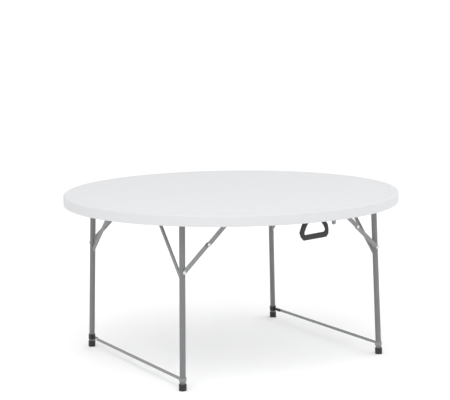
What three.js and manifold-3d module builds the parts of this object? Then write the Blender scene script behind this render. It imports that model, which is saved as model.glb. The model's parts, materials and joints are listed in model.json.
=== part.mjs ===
// Round folding picnic table: two half tops hinged along the seam, four folding legs. Millimetres, +Z up.
// X runs along the seam, -Y is the handle side. The origin is on the floor under the centre.
import * as THREE from "three";
import { mergeVertices } from "three/addons/utils/BufferGeometryUtils.js";
import Module from "manifold-3d";

const wasm = await Module();
wasm.setup();

const GAP = 0.3;

// Tabletop
const TOP_RADIUS = 750;
const TOP_HEIGHT = 740;
const RIM_DEPTH = 46;
const RIM_WIDTH = 28;
const PANEL_THICKNESS = 20;
const EDGE_ROUND = 8;
const EDGE_STEPS = 4;
const TOP_SEGMENTS = 96;
const SEAM_GAP = 0.5;
const RIM_BOTTOM = TOP_HEIGHT - RIM_DEPTH;
const PANEL_UNDERSIDE = TOP_HEIGHT - PANEL_THICKNESS;

// Seam hinges
const HINGE_X = [-440, 440];
const HINGE_LENGTH = 60;
const HINGE_Z = 690;
const LEAF_WIDTH = 24;
const LEAF_THICKNESS = 2;
const KNUCKLE_RADIUS = 3.4;
const HINGE_PIN_RADIUS = 1.8;
const HINGE_HOLE_RADIUS = 1.9;

// Legs
const PIVOT_X = 487.7;
const PIVOT_Y = 412.7;
const PIVOT_Z = 705;
const FOOT_X = 508.4;
const FOOT_Y = 428.8;
const LEG_RADIUS = 12.5;
const LEG_BORE = 11;
const LEG_END_Z = 3.6;
const CAP_RADIUS = 16;
const CAP_HEIGHT = 27;
const CAP_FLOOR = 3.3;
const PIVOT_TUBE_RADIUS = 9.5;
const PIVOT_TUBE_BORE = 7.8;
const PIVOT_TUBE_INNER_Y = 156;
const CORNER_LOW_Z = 450;
const CORNER_HIGH_Y = 190;
const CORNER_HALF_WIDTH = 10;
const CORNER_FLATTEN = 0.6;
const SADDLE_Y = [168, 376];
const SADDLE_LENGTH = 16;
const SADDLE_WIDTH = 30;
const SADDLE_HOLE_RADIUS = 9.6;

// Folding braces, in planes outside the legs
const LINK_LOW = [494, 489];
const LINK_KNEE = [380, 593];
const LINK_TOP = [266, 697];
const LINK_HALF_WIDTH = 9.5;
const LINK_THICKNESS = 3;
const LOWER_LINK_Y = 432.5;
const UPPER_LINK_Y = 439;
const LINK_HOLE_RADIUS = 4.35;
const BOLT_RADIUS = 4;
const BOLT_HEAD_RADIUS = 7;
const BRACKET_Y = 442.6;
const BRACKET_HALF_WIDTH = 14;

// Crossbars near the floor
const BAR_RADIUS = 6.3;
const BAR_Z = 46;
const BAR_OFFSET = 4;
const BAR_FAR_Y = 380;
const BAR_FLAT_LENGTH = 36;
const BAR_FLAT_HALF = 2;
const COLLAR_RADIUS = 15.5;
const COLLAR_HEIGHT = 16;
const TAB_THICKNESS = 3;
const TAB_LENGTH = 64;
const TAB_HEIGHT = 14;

// Handle and latch on the near rim
const HANDLE_X = -45;
const HANDLE_Y = -709;
const HANDLE_AXIS_Z = 703;
const HANDLE_ROD_RADIUS = 3.5;
const HANDLE_HOLE_RADIUS = 3.65;
const HANDLE_THICKNESS = 6;
const HANDLE_BOTTOM_Z = 632;
const LUG_WIDTH = 7;
const HANDLE_HALF_SPAN = 52;
const LATCH_X = 51;
const LATCH_HALF_SPAN = 11;

const FINE = 24;
const ROUND = 16;

const plastic = { color: 0xe4e4e6, roughness: 0.5, metalness: 0 };
const greyPaint = { color: 0x8b8d90, roughness: 0.45, metalness: 0.3 };
const lightSteel = { color: 0xb9bbbd, roughness: 0.35, metalness: 0.7 };
const brightSteel = { color: 0xd4d5d6, roughness: 0.25, metalness: 0.9 };
const blackPlastic = { color: 0x1d1d1f, roughness: 0.55, metalness: 0 };

const group = new THREE.Group();

function solid(geometry) {
  const g = geometry.clone();
  g.deleteAttribute("normal");
  g.deleteAttribute("uv");
  const m = mergeVertices(g, 1e-4);
  const vertProperties = new Float32Array(m.attributes.position.array);
  const triVerts = new Uint32Array(m.index.array);
  return new wasm.Manifold(new wasm.Mesh({ numProp: 3, vertProperties, triVerts }));
}

function addPart(name, shape, look) {
  const mesh = shape.getMesh();
  const geometry = new THREE.BufferGeometry();
  geometry.setAttribute("position", new THREE.BufferAttribute(new Float32Array(mesh.vertProperties), 3));
  geometry.setIndex(new THREE.BufferAttribute(new Uint32Array(mesh.triVerts), 1));
  geometry.computeVertexNormals();
  const node = new THREE.Mesh(geometry, new THREE.MeshStandardMaterial(look));
  node.name = name;
  group.add(node);
}

function box(low, high) {
  const size = high.map((v, i) => v - low[i]);
  const g = new THREE.BoxGeometry(...size);
  g.translate(...high.map((v, i) => (v + low[i]) / 2));
  return solid(g);
}

// A round bar between two points; squash flattens it across its local X.
function rod(from, to, radius, segments = ROUND, squash = 1) {
  const a = new THREE.Vector3(...from);
  const b = new THREE.Vector3(...to);
  const g = new THREE.CylinderGeometry(radius, radius, a.distanceTo(b), segments);
  g.scale(squash, 1, 1);
  const direction = b.clone().sub(a).normalize();
  g.applyQuaternion(new THREE.Quaternion().setFromUnitVectors(new THREE.Vector3(0, 1, 0), direction));
  const middle = a.add(b).multiplyScalar(0.5);
  g.translate(middle.x, middle.y, middle.z);
  return solid(g);
}

function ball(centre, radius) {
  const g = new THREE.SphereGeometry(radius, ROUND, ROUND / 2);
  g.translate(...centre);
  return solid(g);
}

// A flat outline drawn in the XZ plane, as thick as from yLow to yHigh.
function plate(shape, yLow, yHigh) {
  const g = new THREE.ExtrudeGeometry(shape, { depth: yHigh - yLow, bevelEnabled: false, curveSegments: 5 });
  g.rotateX(Math.PI / 2);
  g.translate(0, yHigh, 0);
  return solid(g);
}

function polygon(points) {
  return new THREE.Shape(points.map((p) => new THREE.Vector2(...p)));
}

function roundBar(y1, y2, x, z, radius, segments = ROUND) {
  return rod([x, Math.min(y1, y2), z], [x, Math.max(y1, y2), z], radius, segments);
}

function topProfile() {
  const points = [[0, RIM_BOTTOM], [TOP_RADIUS - 2, RIM_BOTTOM], [TOP_RADIUS, RIM_BOTTOM + 2]];
  for (let i = 0; i <= EDGE_STEPS; i++) {
    const angle = (Math.PI / 2) * (i / EDGE_STEPS);
    const r = TOP_RADIUS - EDGE_ROUND * (1 - Math.cos(angle));
    points.push([r, TOP_HEIGHT - EDGE_ROUND * (1 - Math.sin(angle))]);
  }
  points.push([0, TOP_HEIGHT]);
  return points.map((p) => new THREE.Vector2(...p));
}

function lathe(points, segments) {
  const g = new THREE.LatheGeometry(points, segments);
  g.rotateX(Math.PI / 2);
  return solid(g);
}

function tabletopHalf(name, side) {
  const reach = TOP_RADIUS + 10;
  const near = SEAM_GAP / 2;
  const far = reach;
  const ySpan = side > 0 ? [near, far] : [-far, -near];
  const half = lathe(topProfile(), TOP_SEGMENTS).intersect(
    box([-reach, ySpan[0], 0], [reach, ySpan[1], TOP_HEIGHT + 1]),
  );
  const innerRadius = TOP_RADIUS - RIM_WIDTH;
  const disc = rod([0, 0, RIM_BOTTOM - 5], [0, 0, PANEL_UNDERSIDE], innerRadius, TOP_SEGMENTS);
  const inner = side > 0 ? [RIM_WIDTH, far] : [-far, -RIM_WIDTH];
  const recess = disc.intersect(box([-reach, inner[0], 0], [reach, inner[1], TOP_HEIGHT]));
  addPart(name, half.subtract(recess), plastic);
}

function hinge(index, x) {
  const third = HINGE_LENGTH / 3;
  const leafTop = RIM_BOTTOM - GAP;
  const bore = rod([x - HINGE_LENGTH, 0, HINGE_Z], [x + HINGE_LENGTH, 0, HINGE_Z], HINGE_HOLE_RADIUS, FINE);
  const knuckle = (from, to) =>
    rod([x + from, 0, HINGE_Z], [x + to, 0, HINGE_Z], KNUCKLE_RADIUS, FINE);
  const clear = KNUCKLE_RADIUS + 0.4;
  for (const [label, side] of [["near", -1], ["far", 1]]) {
    const ys = [side * clear, side * LEAF_WIDTH].sort((a, b) => a - b);
    let leaf = box(
      [x - HINGE_LENGTH / 2, ys[0], leafTop - LEAF_THICKNESS],
      [x + HINGE_LENGTH / 2, ys[1], leafTop],
    );
    const spans = side < 0 ? [[-1.5, -0.5], [0.5, 1.5]] : [[-0.5, 0.5]];
    for (const [a, b] of spans) {
      const from = a * third + GAP;
      const to = b * third - GAP;
      const web = [0, side * (clear + 1)].sort((p, q) => p - q);
      leaf = leaf.add(knuckle(from, to));
      leaf = leaf.add(
        box([x + from, web[0], HINGE_Z + 1.6], [x + to, web[1], HINGE_Z + KNUCKLE_RADIUS]),
      );
    }
    addPart(`hinge_leaf_${label}_${index}`, leaf.subtract(bore), brightSteel);
  }
  const half = HINGE_LENGTH / 2;
  const pin = rod([x - half, 0, HINGE_Z], [x + half, 0, HINGE_Z], HINGE_PIN_RADIUS, FINE);
  addPart(`hinge_pin_${index}`, pin, brightSteel);
}

function legLine(sx, sy, z) {
  const t = (PIVOT_Z - z) / PIVOT_Z;
  return [sx * (PIVOT_X + (FOOT_X - PIVOT_X) * t), sy * (PIVOT_Y + (FOOT_Y - PIVOT_Y) * t), z];
}

function aboveFloor(z) {
  return box([-TOP_RADIUS, -TOP_RADIUS, z], [TOP_RADIUS, TOP_RADIUS, TOP_HEIGHT + 10]);
}

function legEnvelope(sx, sy, extra) {
  const pivot = legLine(sx, sy, PIVOT_Z);
  const r = LEG_RADIUS + extra;
  return rod(legLine(sx, sy, -10), pivot, r, ROUND).add(ball(pivot, r));
}

function leg(sx, sy, name) {
  const bore = rod(legLine(sx, sy, -10), legLine(sx, sy, PIVOT_Z - 20), LEG_BORE, ROUND);
  const tube = legEnvelope(sx, sy, 0).subtract(bore).intersect(aboveFloor(LEG_END_Z));
  addPart(`leg_tube_${name}`, tube, greyPaint);
}

function footCap(sx, sy, name) {
  const outer = rod(legLine(sx, sy, -10), legLine(sx, sy, CAP_HEIGHT), CAP_RADIUS, FINE);
  const socket = rod(legLine(sx, sy, -10), legLine(sx, sy, CAP_HEIGHT + 5), LEG_RADIUS + GAP, FINE);
  const cup = outer.intersect(aboveFloor(0)).subtract(socket.intersect(aboveFloor(CAP_FLOOR)));
  addPart(`foot_cap_${name}`, cup, blackPlastic);
}

function pivotTube(sx, sy, name) {
  const x = sx * PIVOT_X;
  const outer = roundBar(sy * PIVOT_Y, sy * PIVOT_TUBE_INNER_Y, x, PIVOT_Z, PIVOT_TUBE_RADIUS, FINE);
  const bore = roundBar(sy * (PIVOT_Y + 5), sy * (PIVOT_TUBE_INNER_Y - 5), x, PIVOT_Z, PIVOT_TUBE_BORE, FINE);
  addPart(`pivot_tube_${name}`, outer.subtract(bore).subtract(legEnvelope(sx, sy, GAP)), greyPaint);
}

function cornerBrace(sx, sy, name) {
  const low = legLine(sx, sy, CORNER_LOW_Z);
  const high = [sx * PIVOT_X, sy * CORNER_HIGH_Y, PIVOT_Z];
  const tube = roundBar(
    sy * PIVOT_Y, sy * (PIVOT_TUBE_INNER_Y - 20), high[0], PIVOT_Z, PIVOT_TUBE_RADIUS + GAP, FINE,
  );
  const bar = rod(low, high, CORNER_HALF_WIDTH, ROUND, CORNER_FLATTEN);
  addPart(`corner_brace_${name}`, bar.subtract(legEnvelope(sx, sy, GAP)).subtract(tube), lightSteel);
}

function saddles(sx, sy, name) {
  SADDLE_Y.forEach((y, i) => {
    const x = sx * PIVOT_X;
    const half = SADDLE_WIDTH / 2;
    const ys = [sy * y - SADDLE_LENGTH / 2, sy * y + SADDLE_LENGTH / 2];
    const block = box([x - half, ys[0], PIVOT_Z], [x + half, ys[1], PANEL_UNDERSIDE - GAP]);
    const lower = roundBar(ys[0], ys[1], x, PIVOT_Z, half - 1, FINE);
    const hole = roundBar(ys[0] - 5, ys[1] + 5, x, PIVOT_Z, SADDLE_HOLE_RADIUS, FINE);
    addPart(`pivot_saddle_${name}_${i + 1}`, block.add(lower).subtract(hole), greyPaint);
  });
}

// A straight flat bar with round ends and a hole at each, between two points of the XZ plane.
function flatLink(sx, sy, from, to, y) {
  const [x1, z1] = [sx * from[0], from[1]];
  const [x2, z2] = [sx * to[0], to[1]];
  const angle = Math.atan2(z2 - z1, x2 - x1);
  const shape = new THREE.Shape();
  shape.absarc(x1, z1, LINK_HALF_WIDTH, angle + Math.PI / 2, angle + 1.5 * Math.PI, false);
  shape.absarc(x2, z2, LINK_HALF_WIDTH, angle - Math.PI / 2, angle + Math.PI / 2, false);
  for (const [x, z] of [[x1, z1], [x2, z2]]) {
    const hole = new THREE.Path();
    hole.absarc(x, z, LINK_HOLE_RADIUS, 0, 2 * Math.PI, false);
    shape.holes.push(hole);
  }
  return plate(shape, sy * y - LINK_THICKNESS / 2, sy * y + LINK_THICKNESS / 2);
}

function foldingBrace(sx, sy, name) {
  const halfLink = LINK_THICKNESS / 2;
  addPart(`lower_link_${name}`, flatLink(sx, sy, LINK_LOW, LINK_KNEE, LOWER_LINK_Y), lightSteel);
  addPart(`upper_link_${name}`, flatLink(sx, sy, LINK_KNEE, LINK_TOP, UPPER_LINK_Y), lightSteel);
  const lowerOuter = LOWER_LINK_Y + halfLink + GAP;
  const [lowX, lowZ] = [sx * LINK_LOW[0], LINK_LOW[1]];
  const bolt = roundBar(sy * PIVOT_Y, sy * (lowerOuter + 1), lowX, lowZ, BOLT_RADIUS)
    .add(roundBar(sy * lowerOuter, sy * (lowerOuter + 2.4), lowX, lowZ, BOLT_HEAD_RADIUS))
    .subtract(legEnvelope(sx, sy, GAP));
  addPart(`brace_bolt_${name}`, bolt, brightSteel);
  const upperOuter = UPPER_LINK_Y + halfLink + GAP;
  const [kneeX, kneeZ] = [sx * LINK_KNEE[0], LINK_KNEE[1]];
  const rivet = roundBar(sy * lowerOuter, sy * (upperOuter + 1), kneeX, kneeZ, BOLT_RADIUS)
    .add(roundBar(sy * upperOuter, sy * (upperOuter + 2.2), kneeX, kneeZ, BOLT_HEAD_RADIUS));
  addPart(`knee_rivet_${name}`, rivet, brightSteel);
}

function braceBracket(sx, sy, name) {
  const [x, z] = [sx * LINK_TOP[0], LINK_TOP[1]];
  const h = BRACKET_HALF_WIDTH;
  const top = PANEL_UNDERSIDE - GAP;
  const ear = polygon([[x - h, top], [x - h, z], [x - 6, z - 10], [x + 6, z - 10], [x + h, z], [x + h, top]]);
  const y = sy * BRACKET_Y;
  const flange = [y, y + sy * 20].sort((a, b) => a - b);
  const pinInner = UPPER_LINK_Y - LINK_THICKNESS / 2 - 0.5;
  const bracket = plate(ear, y - LINK_THICKNESS / 2, y + LINK_THICKNESS / 2)
    .add(box([x - h, flange[0], top - LINK_THICKNESS], [x + h, flange[1], top]))
    .add(roundBar(sy * pinInner, sy * BRACKET_Y, x, z, BOLT_RADIUS));
  addPart(`brace_bracket_${name}`, bracket, greyPaint);
}

function crossbar(sx, name) {
  const nearPoint = legLine(sx, -1, BAR_Z);
  const x = nearPoint[0] + sx * BAR_OFFSET;
  const round = rod([x, nearPoint[1], BAR_Z], [x, BAR_FAR_Y - BAR_FLAT_LENGTH, BAR_Z], BAR_RADIUS);
  const flat = box(
    [x - BAR_FLAT_HALF, BAR_FAR_Y - BAR_FLAT_LENGTH - 4, BAR_Z - BAR_RADIUS],
    [x + BAR_FLAT_HALF, BAR_FAR_Y, BAR_Z + BAR_RADIUS],
  );
  const half = COLLAR_HEIGHT / 2;
  const collar = rod(legLine(sx, -1, BAR_Z - half), legLine(sx, -1, BAR_Z + half), COLLAR_RADIUS, FINE);
  const hole = rod(legLine(sx, -1, 5), legLine(sx, -1, BAR_Z + 50), LEG_RADIUS + 0.2, FINE);
  addPart(`crossbar_${name}`, round.add(flat).add(collar).subtract(hole), lightSteel);
}

function crossbarTab(sx, name) {
  const farPoint = legLine(sx, 1, BAR_Z);
  const barInner = farPoint[0] + sx * (BAR_OFFSET - BAR_FLAT_HALF - GAP);
  const xs = [barInner, barInner - sx * TAB_THICKNESS].sort((a, b) => a - b);
  const h = TAB_HEIGHT / 2;
  const strip = box([xs[0], farPoint[1] - TAB_LENGTH, BAR_Z - h], [xs[1], farPoint[1], BAR_Z + h]);
  const ring = rod(legLine(sx, 1, BAR_Z - 12), legLine(sx, 1, BAR_Z + 12), COLLAR_RADIUS, FINE);
  addPart(`crossbar_tab_${name}`, strip.add(ring).subtract(legEnvelope(sx, 1, GAP)), blackPlastic);
}

// Two lugs under one plate, with a hole along X for a hanging piece.
function hangerMount(x, halfSpan) {
  const y = [HANDLE_Y - 5, HANDLE_Y + 5];
  const top = PANEL_UNDERSIDE - GAP;
  const outer = halfSpan + LUG_WIDTH;
  let mount = box([x - outer, y[0], top - 5], [x + outer, y[1], top]);
  for (const side of [-1, 1]) {
    const xs = [x + side * halfSpan, x + side * outer].sort((a, b) => a - b);
    mount = mount.add(box([xs[0], y[0], HANDLE_AXIS_Z - 6], [xs[1], y[1], top - 4]));
  }
  const hole = rod([x - outer - 5, HANDLE_Y, HANDLE_AXIS_Z], [x + outer + 5, HANDLE_Y, HANDLE_AXIS_Z],
    HANDLE_HOLE_RADIUS, FINE);
  return mount.subtract(hole);
}

function hangerRod(x, halfSpan) {
  const reach = halfSpan + LUG_WIDTH - 1;
  return rod([x - reach, HANDLE_Y, HANDLE_AXIS_Z], [x + reach, HANDLE_Y, HANDLE_AXIS_Z], HANDLE_ROD_RADIUS, FINE);
}

function handle() {
  const outline = [[-46, HANDLE_AXIS_Z + 2], [46, HANDLE_AXIS_Z + 2], [68, HANDLE_BOTTOM_Z + 6],
    [62, HANDLE_BOTTOM_Z], [-62, HANDLE_BOTTOM_Z], [-68, HANDLE_BOTTOM_Z + 6]];
  const opening = [[-44, 653], [44, 653], [30, 690], [-30, 690]];
  const shape = polygon(outline.map(([x, z]) => [x + HANDLE_X, z]));
  shape.holes.push(new THREE.Path(opening.map(([x, z]) => new THREE.Vector2(x + HANDLE_X, z))));
  const half = HANDLE_THICKNESS / 2;
  const band = plate(shape, HANDLE_Y - half, HANDLE_Y + half);
  addPart("handle", band.add(hangerRod(HANDLE_X, HANDLE_HALF_SPAN)), blackPlastic);
  addPart("handle_mount", hangerMount(HANDLE_X, HANDLE_HALF_SPAN), blackPlastic);
}

function latch() {
  const shape = polygon([[-9, HANDLE_AXIS_Z + 2], [9, HANDLE_AXIS_Z + 2], [9, 676], [5, 671], [-5, 671], [-9, 676]]
    .map(([x, z]) => [x + LATCH_X, z]));
  const strip = plate(shape, HANDLE_Y - 2, HANDLE_Y + 2);
  addPart("latch", strip.add(hangerRod(LATCH_X, LATCH_HALF_SPAN)), lightSteel);
  addPart("latch_mount", hangerMount(LATCH_X, LATCH_HALF_SPAN), lightSteel);
}

tabletopHalf("tabletop_half_far", 1);
tabletopHalf("tabletop_half_near", -1);
HINGE_X.forEach((x, i) => hinge(i + 1, x));
for (const [sideName, sx] of [["left", -1], ["right", 1]]) {
  for (const [rowName, sy] of [["far", 1], ["near", -1]]) {
    const name = `${sideName}_${rowName}`;
    leg(sx, sy, name);
    footCap(sx, sy, name);
    pivotTube(sx, sy, name);
    cornerBrace(sx, sy, name);
    saddles(sx, sy, name);
    foldingBrace(sx, sy, name);
    braceBracket(sx, sy, name);
  }
  crossbar(sx, sideName);
  crossbarTab(sx, sideName);
}
handle();
latch();

export default group;
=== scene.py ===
import bmesh
import bpy
import json
import math
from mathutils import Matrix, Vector


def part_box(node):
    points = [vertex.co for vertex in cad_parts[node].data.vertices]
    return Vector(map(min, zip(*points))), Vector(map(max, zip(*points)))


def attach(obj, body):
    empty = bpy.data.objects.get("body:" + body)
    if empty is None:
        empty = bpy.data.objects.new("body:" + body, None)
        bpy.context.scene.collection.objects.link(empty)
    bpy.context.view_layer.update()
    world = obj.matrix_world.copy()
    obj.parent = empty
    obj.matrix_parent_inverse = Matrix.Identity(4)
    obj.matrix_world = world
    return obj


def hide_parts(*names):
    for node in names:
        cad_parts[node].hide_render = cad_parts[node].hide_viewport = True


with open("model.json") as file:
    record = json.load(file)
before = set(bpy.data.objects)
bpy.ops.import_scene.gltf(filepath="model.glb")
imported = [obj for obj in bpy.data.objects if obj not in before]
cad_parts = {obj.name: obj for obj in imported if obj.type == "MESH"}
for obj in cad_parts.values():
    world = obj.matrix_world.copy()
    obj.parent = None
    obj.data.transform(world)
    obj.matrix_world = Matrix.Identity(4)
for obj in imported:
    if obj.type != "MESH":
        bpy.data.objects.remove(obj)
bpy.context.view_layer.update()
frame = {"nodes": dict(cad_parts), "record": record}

# Camera, in metres: position, heading from +Y towards +X, pitch down and roll, in radians.
CAMERA_AT = (-2.9279, -4.7344, 1.4889)
HEADING = 0.5491
PITCH = 0.1418
ROLL = -0.0137
FOCAL_MM = 99.66
SENSOR_MM = 36
CLIP_END = 100

# Border ring on the top: radius, section as (radius, height) offsets, steps, and angle left at the seam.
TOP_Z = 0.740
BORDER_R = 0.713
BORDER_SECTION = [(-0.0016, -0.0001), (-0.0008, 0.0004), (0.0008, 0.0004), (0.0016, -0.0001)]
BORDER_STEPS = 96
BORDER_END_ANGLE = 0.004

# Rivet and screw heads: (radius, height), and how far each sits in from its piece's box.
TURNED_SEGMENTS = 24
DOME_STEPS = 5
CORNER_RIVET = (0.0045, 0.002)
CORNER_RIVET_UP = 0.030
CORNER_RIVET_IN_Y = 0.014
CORNER_RIVET_IN_X = 0.0025
BRACKET_SCREW = (0.004, 0.0022)
BRACKET_SCREW_IN_X = 0.007
BRACKET_SCREW_IN_Y = 0.008
BRACKET_FLANGE = 0.003
CROSSBAR_RIVET = (0.0048, 0.0022)
CROSSBAR_RIVET_IN_Y = 0.014
CROSSBAR_Z = 0.046
CROSSBAR_X = 0.51105
CROSSBAR_FLAT_HALF = 0.002

# Carry handle: the pivot's centre, and the loop's outer and inner outlines, as (x from the centre, z).
HANDLE_AT = (-0.045, -0.709, 0.703)
HANDLE_HALF_THICK = 0.004
HANDLE_BEVEL = 0.0015
HANDLE_ROD_R = 0.0035
HANDLE_ROD_HALF = 0.058
HANDLE_OUTER = [
    (-0.047, 0.705), (0.047, 0.705), (0.050, 0.694), (0.064, 0.676), (0.068, 0.655), (0.067, 0.636),
    (0.056, 0.624), (-0.054, 0.619), (-0.067, 0.634), (-0.073, 0.652), (-0.062, 0.680),
]
HANDLE_INNER = [
    (-0.028, 0.693), (0.030, 0.693), (0.034, 0.688), (0.046, 0.671), (0.053, 0.658), (0.052, 0.650),
    (0.046, 0.646), (-0.047, 0.641), (-0.051, 0.645), (-0.050, 0.655), (-0.040, 0.676),
]

# Materials: how much of the mix is the broad noise, how much coarser it is, and the relief's depth.
BROAD_SHARE = 0.5
BROAD_COARSER = 40
NOISE_DETAIL = 4
ROUGHNESS_SPREAD = 0.08
RELIEF_DEPTH = 0.0006
COOL = (0.99, 1.0, 1.02)

# Stage and light.
FLOOR_HALF = 14
WORLD_STRENGTH = 1.07
LIGHT_SIZE = 3.0
LIGHT_TARGET = (0, 0, 0.5)
LIGHTS = [("key", (-2.0, -2.5, 4.0), 60), ("fill", (4.0, -1.5, 2.5), 30)]


def node_material(name, base, dark, roughness, metallic, grain, bump):
    """Two close tones, mixed by two sizes of noise, with bump and uneven roughness from the fine one."""
    m = bpy.data.materials.new(name)
    m.use_nodes = True
    nodes, links = m.node_tree.nodes, m.node_tree.links
    shader = nodes["Principled BSDF"]
    shader.inputs["Metallic"].default_value = metallic
    coord = nodes.new("ShaderNodeTexCoord")
    fine = nodes.new("ShaderNodeTexNoise")
    fine.inputs["Scale"].default_value = grain
    fine.inputs["Detail"].default_value = NOISE_DETAIL
    broad = nodes.new("ShaderNodeTexNoise")
    broad.inputs["Scale"].default_value = grain / BROAD_COARSER
    for tex in (fine, broad):
        links.new(coord.outputs["Object"], tex.inputs["Vector"])
    mix = nodes.new("ShaderNodeMix")
    mix.data_type = "RGBA"
    mix.inputs["A"].default_value = (*dark, 1)
    mix.inputs["B"].default_value = (*base, 1)
    blend = nodes.new("ShaderNodeMath")
    blend.operation = "MULTIPLY_ADD"
    blend.inputs[1].default_value = BROAD_SHARE
    links.new(broad.outputs["Fac"], blend.inputs[0])
    half = nodes.new("ShaderNodeMath")
    half.operation = "MULTIPLY"
    half.inputs[1].default_value = 1 - BROAD_SHARE
    links.new(fine.outputs["Fac"], half.inputs[0])
    links.new(half.outputs[0], blend.inputs[2])
    links.new(blend.outputs[0], mix.inputs["Factor"])
    links.new(mix.outputs["Result"], shader.inputs["Base Color"])
    rough = nodes.new("ShaderNodeMapRange")
    rough.inputs["To Min"].default_value = roughness - ROUGHNESS_SPREAD
    rough.inputs["To Max"].default_value = roughness + ROUGHNESS_SPREAD
    links.new(fine.outputs["Fac"], rough.inputs["Value"])
    links.new(rough.outputs["Result"], shader.inputs["Roughness"])
    relief = nodes.new("ShaderNodeBump")
    relief.inputs["Strength"].default_value = bump
    relief.inputs["Distance"].default_value = RELIEF_DEPTH
    links.new(fine.outputs["Fac"], relief.inputs["Height"])
    links.new(relief.outputs["Normal"], shader.inputs["Normal"])
    return m


def grey(v, tint=(1, 1, 1)):
    return tuple(v * t for t in tint)


# Each slot's base tone, dark tone, roughness, metalness, grain and bump.
looks = {
    "tabletop": node_material("pebbled_plastic", grey(0.62, COOL), grey(0.58, COOL), 0.55, 0, 650, 0.5),
    "leg_paint": node_material("grey_powder_coat", grey(0.205, COOL), grey(0.16, COOL), 0.42, 0.35, 900, 0.3),
    "brace_steel": node_material("light_grey_coat", grey(0.28, COOL), grey(0.23, COOL), 0.4, 0.4, 800, 0.2),
    "bright_steel": node_material("zinc", grey(0.72), grey(0.6), 0.28, 0.95, 700, 0.15),
    "black_plastic": node_material("black_plastic", grey(0.018), grey(0.012), 0.5, 0, 700, 0.35),
}
slot_of = {s["node"]: s["material_slot"] for s in frame["record"]["subparts"]}
for node_name, node_object in frame["nodes"].items():
    for material_slot in node_object.material_slots:
        material_slot.material = looks[slot_of[node_name]]


def new_object(name, bm, body, slot):
    """A smooth-shaded piece that rides on a body and has a slot's material."""
    mesh = bpy.data.meshes.new(name)
    bm.to_mesh(mesh)
    bm.free()
    for p in mesh.polygons:
        p.use_smooth = True
    obj = bpy.data.objects.new(name, mesh)
    bpy.context.collection.objects.link(obj)
    mesh.materials.append(looks[slot])
    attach(obj, body)
    return obj


def revolve(profile, centre, axis):
    """A closed turned piece from (radius, height) points that start and end on the axis."""
    bm = bmesh.new()
    n = TURNED_SEGMENTS
    turn = Vector((0, 0, 1)).rotation_difference(Vector(axis)).to_matrix()
    rings = []
    for r, h in profile:
        if r == 0:
            rings.append([bm.verts.new(turn @ Vector((0, 0, h)) + Vector(centre))])
            continue
        ring = []
        for i in range(n):
            a = 2 * math.pi * i / n
            point = Vector((r * math.cos(a), r * math.sin(a), h))
            ring.append(bm.verts.new(turn @ point + Vector(centre)))
        rings.append(ring)
    for low, high in zip(rings, rings[1:]):
        for i in range(n):
            j = (i + 1) % n
            quad = [low[i % len(low)], low[j % len(low)], high[j % len(high)], high[i % len(high)]]
            bm.faces.new(list(dict.fromkeys(quad)))
    bmesh.ops.recalc_face_normals(bm, faces=bm.faces)
    return bm


def dome(radius, height):
    """A rivet or screw head's profile, standing on height 0."""
    angles = [math.pi / 2 * i / DOME_STEPS for i in range(DOME_STEPS)]
    curve = [(radius * math.cos(a), height * math.sin(a)) for a in angles]
    return [(0, 0)] + curve + [(0, height)]


def border_ring(name, side, body):
    """The faint raised ring on one half of the top, 37 mm in from the edge."""
    bm = bmesh.new()
    rows = []
    for i in range(BORDER_STEPS + 1):
        a = BORDER_END_ANGLE + (math.pi - 2 * BORDER_END_ANGLE) * i / BORDER_STEPS
        row = []
        for offset, h in BORDER_SECTION:
            r = BORDER_R + offset
            row.append(bm.verts.new((r * math.cos(a), side * r * math.sin(a), TOP_Z + h)))
        rows.append(row)
    n = len(BORDER_SECTION)
    for p, q in zip(rows, rows[1:]):
        for i in range(n):
            j = (i + 1) % n
            bm.faces.new((p[i], p[j], q[j], q[i]))
    bm.faces.new(rows[0])
    bm.faces.new(rows[-1])
    bmesh.ops.recalc_face_normals(bm, faces=bm.faces)
    return new_object(name, bm, body, "tabletop")


def rivet(name, head, centre, axis, body):
    new_object(name, revolve(dome(*head), centre, axis), body, "bright_steel")


def outer(low, high, axis, sign):
    """A box's side on the given axis that faces away from the table's centre."""
    return high[axis] if sign > 0 else low[axis]


def corner_rivet(corner, sx, sy):
    """The rivet at the corner brace's lower end, on its flat side."""
    low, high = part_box(f"corner_brace_{corner}")
    x = outer(low, high, 0, sx) - sx * CORNER_RIVET_IN_X
    y = outer(low, high, 1, sy) - sy * CORNER_RIVET_IN_Y
    z = low[2] + CORNER_RIVET_UP
    rivet(f"corner_rivet_{corner}", CORNER_RIVET, (x, y, z), (sx, 0, 0), f"leg_{corner}")


def bracket_screws(corner, row, sy):
    """The two screws that hold the brace bracket's flange under the panel."""
    low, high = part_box(f"brace_bracket_{corner}")
    y = outer(low, high, 1, sy) - sy * BRACKET_SCREW_IN_Y
    z = high[2] - BRACKET_FLANGE
    for i, x in enumerate((low[0] + BRACKET_SCREW_IN_X, high[0] - BRACKET_SCREW_IN_X)):
        rivet(f"bracket_screw_{corner}_{i + 1}", BRACKET_SCREW, (x, y, z), (0, 0, -1), "top_" + row)


def crossbar_rivet(side, sx):
    """The rivet in the crossbar's flattened far end."""
    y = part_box(f"crossbar_{side}")[1][1] - CROSSBAR_RIVET_IN_Y
    x = sx * (CROSSBAR_X + CROSSBAR_FLAT_HALF)
    centre = (x, y, CROSSBAR_Z)
    rivet(f"crossbar_rivet_{side}", CROSSBAR_RIVET, centre, (sx, 0, 0), f"crossbar_body_{side}")


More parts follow.
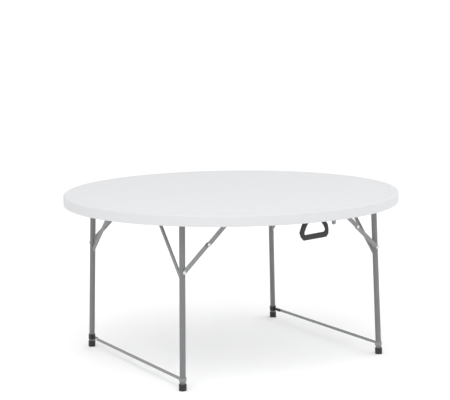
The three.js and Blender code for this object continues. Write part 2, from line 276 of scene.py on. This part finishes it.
def carry_handle():
    """A rounded loop, wider at the bottom, with its pivot rod in the mount's lugs."""
    bm = bmesh.new()
    cx, cy = HANDLE_AT[:2]
    loops = []
    for y in (-HANDLE_HALF_THICK, HANDLE_HALF_THICK):
        for outline in (HANDLE_OUTER, HANDLE_INNER):
            loops.append([bm.verts.new((cx + x, cy + y, z)) for x, z in outline])
    front_out, front_in, back_out, back_in = loops
    sides = ((front_out, front_in), (back_out, back_in), (front_out, back_out), (front_in, back_in))
    for a, b in sides:
        for i in range(len(a)):
            j = (i + 1) % len(a)
            bm.faces.new((a[i], a[j], b[j], b[i]))
    bmesh.ops.recalc_face_normals(bm, faces=bm.faces)
    obj = new_object("handle_loop", bm, "handle", "black_plastic")
    bevel = obj.modifiers.new("rounding", "BEVEL")
    bevel.width = HANDLE_BEVEL
    bevel.segments = 2
    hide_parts("handle")
    r, half = HANDLE_ROD_R, HANDLE_ROD_HALF
    rod = [(0, -half), (r, -half), (r, half), (0, half)]
    new_object("handle_rod", revolve(rod, HANDLE_AT, (1, 0, 0)), "handle", "black_plastic")


def floor_plane():
    bm = bmesh.new()
    bmesh.ops.create_grid(bm, x_segments=2, y_segments=2, size=FLOOR_HALF)
    mesh = bpy.data.meshes.new("floor")
    bm.to_mesh(mesh)
    bm.free()
    floor = bpy.data.objects.new("floor", mesh)
    bpy.context.collection.objects.link(floor)
    mesh.materials.append(node_material("pale_floor", grey(0.97), grey(0.96), 0.9, 0, 60, 0.0))


def studio_world():
    world = bpy.data.worlds.new("studio")
    bpy.context.scene.world = world
    world.use_nodes = True
    background = world.node_tree.nodes["Background"]
    background.inputs["Color"].default_value = (1, 1, 1, 1)
    background.inputs["Strength"].default_value = WORLD_STRENGTH
    bpy.context.scene.view_settings.view_transform = "Standard"


def area_light(name, place, power):
    data = bpy.data.lights.new(name, "AREA")
    data.size = LIGHT_SIZE
    data.energy = power
    obj = bpy.data.objects.new(name, data)
    obj.location = place
    aim = Vector(LIGHT_TARGET) - Vector(place)
    obj.rotation_euler = aim.to_track_quat("-Z", "Y").to_euler()
    bpy.context.collection.objects.link(obj)


def photo_camera():
    level = Vector((math.sin(HEADING), math.cos(HEADING), 0))
    forward = level * math.cos(PITCH) - Vector((0, 0, math.sin(PITCH)))
    right = Vector((math.cos(HEADING), -math.sin(HEADING), 0))
    up = right.cross(forward)
    rolled_right = right * math.cos(ROLL) + up * math.sin(ROLL)
    rolled_up = up * math.cos(ROLL) - right * math.sin(ROLL)
    data = bpy.data.cameras.new("camera")
    data.lens = FOCAL_MM
    data.sensor_width = SENSOR_MM
    data.clip_end = CLIP_END
    camera = bpy.data.objects.new("camera", data)
    bpy.context.collection.objects.link(camera)
    basis = camera.matrix_world.copy()
    for i in range(3):
        basis[i] = (rolled_right[i], rolled_up[i], -forward[i], CAMERA_AT[i])
    camera.matrix_world = basis
    bpy.context.scene.camera = camera


border_ring("border_ring_far", 1, "top_far")
border_ring("border_ring_near", -1, "top_near")
for side_name, side_x in (("left", -1), ("right", 1)):
    for row_name, row_y in (("far", 1), ("near", -1)):
        corner_name = f"{side_name}_{row_name}"
        corner_rivet(corner_name, side_x, row_y)
        bracket_screws(corner_name, row_name, row_y)
    crossbar_rivet(side_name, side_x)
carry_handle()
floor_plane()
studio_world()
for light in LIGHTS:
    area_light(*light)
photo_camera()
